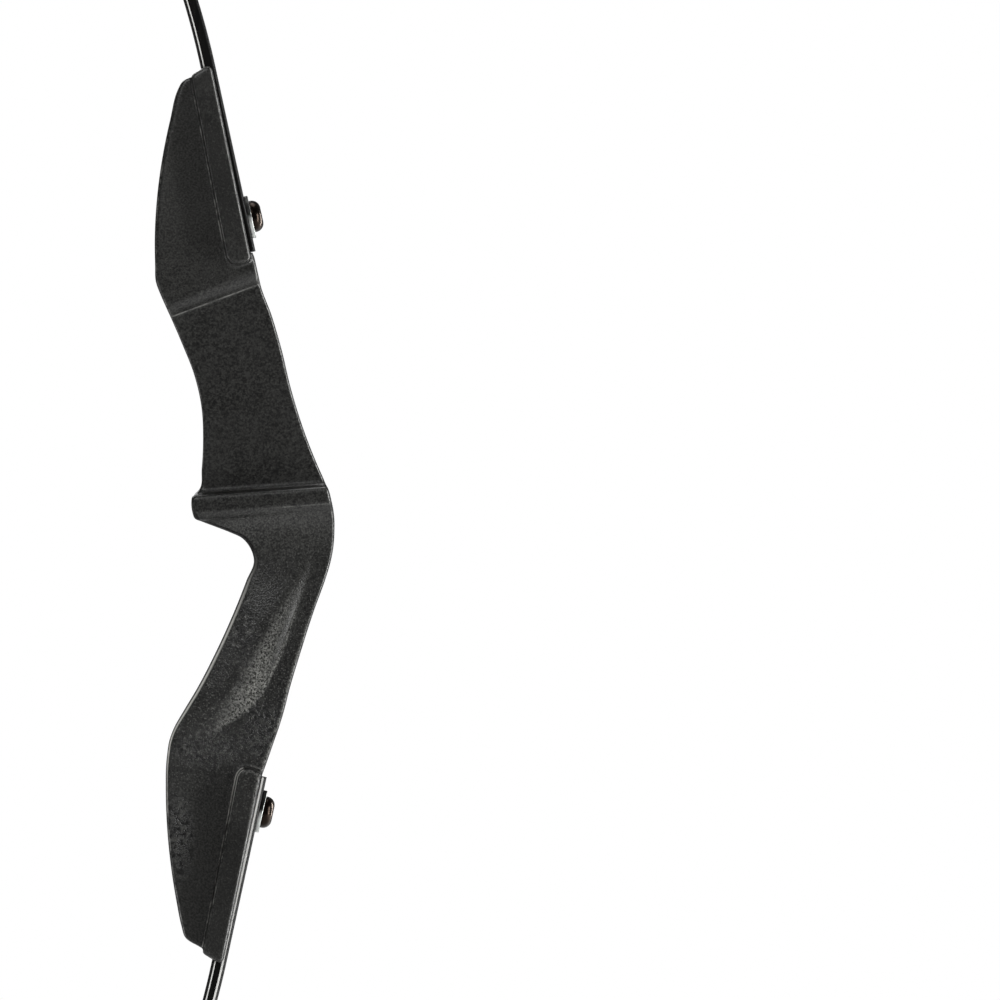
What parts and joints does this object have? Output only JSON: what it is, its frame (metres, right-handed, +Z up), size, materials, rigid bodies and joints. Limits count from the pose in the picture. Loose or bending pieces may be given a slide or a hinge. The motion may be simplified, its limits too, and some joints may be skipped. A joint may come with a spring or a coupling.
{
  "type": "recurve bow",
  "caption": "Ambidextrous take-down recurve bow: moulded riser with cut-away web, arrow shelves and palm swell, and laminated limbs each held by a bolt.",
  "frame": {"origin": "deepest point of the grip's throat, on the plane of symmetry, from which an archer measures brace height and draw length", "axes": "+Z up the bow along its length, +X at the target, +Y to the left of an archer who faces the target"},
  "size_m": [0.2272, 0.0382, 1.2332],
  "materials": {
    "riser_nylon": "fine moulded grain, satin",
    "limb_glass": "satin lacquer over black glass laminate",
    "limb_core": "dyed laminated core, lacquered edge",
    "tip_overlay": "satin black",
    "zinc_washer": "zinc plated",
    "bolt_steel": "dark oxide",
    "insert_brass": "turned brass"
  },
  "bodies": {
    "riser": {"riser": "riser_nylon", "upper_threaded_insert": "insert_brass", "lower_threaded_insert": "insert_brass"},
    "upper_limb_root": {"upper_limb_butt": "limb_glass"},
    "upper_limb_blade": {"upper_limb_back_glass": "limb_glass", "upper_limb_core": "limb_core", "upper_limb_belly_glass": "limb_glass", "upper_limb_tip_overlay": "tip_overlay"},
    "upper_washer": {"upper_bolt_washer": "zinc_washer"},
    "upper_bolt": {"upper_limb_bolt": "bolt_steel"},
    "lower_limb_root": {"lower_limb_butt": "limb_glass"},
    "lower_limb_blade": {"lower_limb_back_glass": "limb_glass", "lower_limb_core": "limb_core", "lower_limb_belly_glass": "limb_glass", "lower_limb_tip_overlay": "tip_overlay"},
    "lower_washer": {"lower_bolt_washer": "zinc_washer"},
    "lower_bolt": {"lower_limb_bolt": "bolt_steel"}
  },
  "joints": [
    {"name": "upper_limb_takedown", "type": "slide", "parent": "riser", "child": "upper_limb_root", "axis": [0.9772, 0, 0.2122], "range_m": [0, 0.03]},
    {"name": "upper_limb_flex", "type": "hinge", "parent": "upper_limb_root", "child": "upper_limb_blade", "pos_m": [-0.0232, 0, 0.21583], "axis": [0, -1, 0], "range_deg": [0, 22], "stiffness_Nm_per_rad": 50},
    {"name": "upper_bolt_travel", "type": "slide", "parent": "upper_limb_root", "child": "upper_washer", "axis": [0.9772, 0, 0.2122], "range_m": [0, 0.0125]},
    {"name": "upper_bolt_turn", "type": "hinge", "parent": "upper_washer", "child": "upper_bolt", "pos_m": [-0.00271, 0, 0.15069], "axis": [0.9772, 0, 0.2122], "range_deg": [0, 3600]},
    {"name": "lower_limb_takedown", "type": "slide", "parent": "riser", "child": "lower_limb_root", "axis": [0.9772, 0, -0.2122], "range_m": [0, 0.03]},
    {"name": "lower_limb_flex", "type": "hinge", "parent": "lower_limb_root", "child": "lower_limb_blade", "pos_m": [-0.01827, 0, -0.17556], "axis": [0, 1, 0], "range_deg": [0, 22], "stiffness_Nm_per_rad": 50},
    {"name": "lower_bolt_travel", "type": "slide", "parent": "lower_limb_root", "child": "lower_washer", "axis": [0.9772, 0, -0.2122], "range_m": [0, 0.0125]},
    {"name": "lower_bolt_turn", "type": "hinge", "parent": "lower_washer", "child": "lower_bolt", "pos_m": [0.00221, 0, -0.11042], "axis": [0.9772, 0, -0.2122], "range_deg": [0, 3600]}
  ],
  "couplings": [
    {"joint": "upper_bolt_travel", "follows": "upper_bolt_turn", "m_per_rad": 0.00019894},
    {"joint": "lower_bolt_travel", "follows": "lower_bolt_turn", "m_per_rad": 0.00019894}
  ]
}
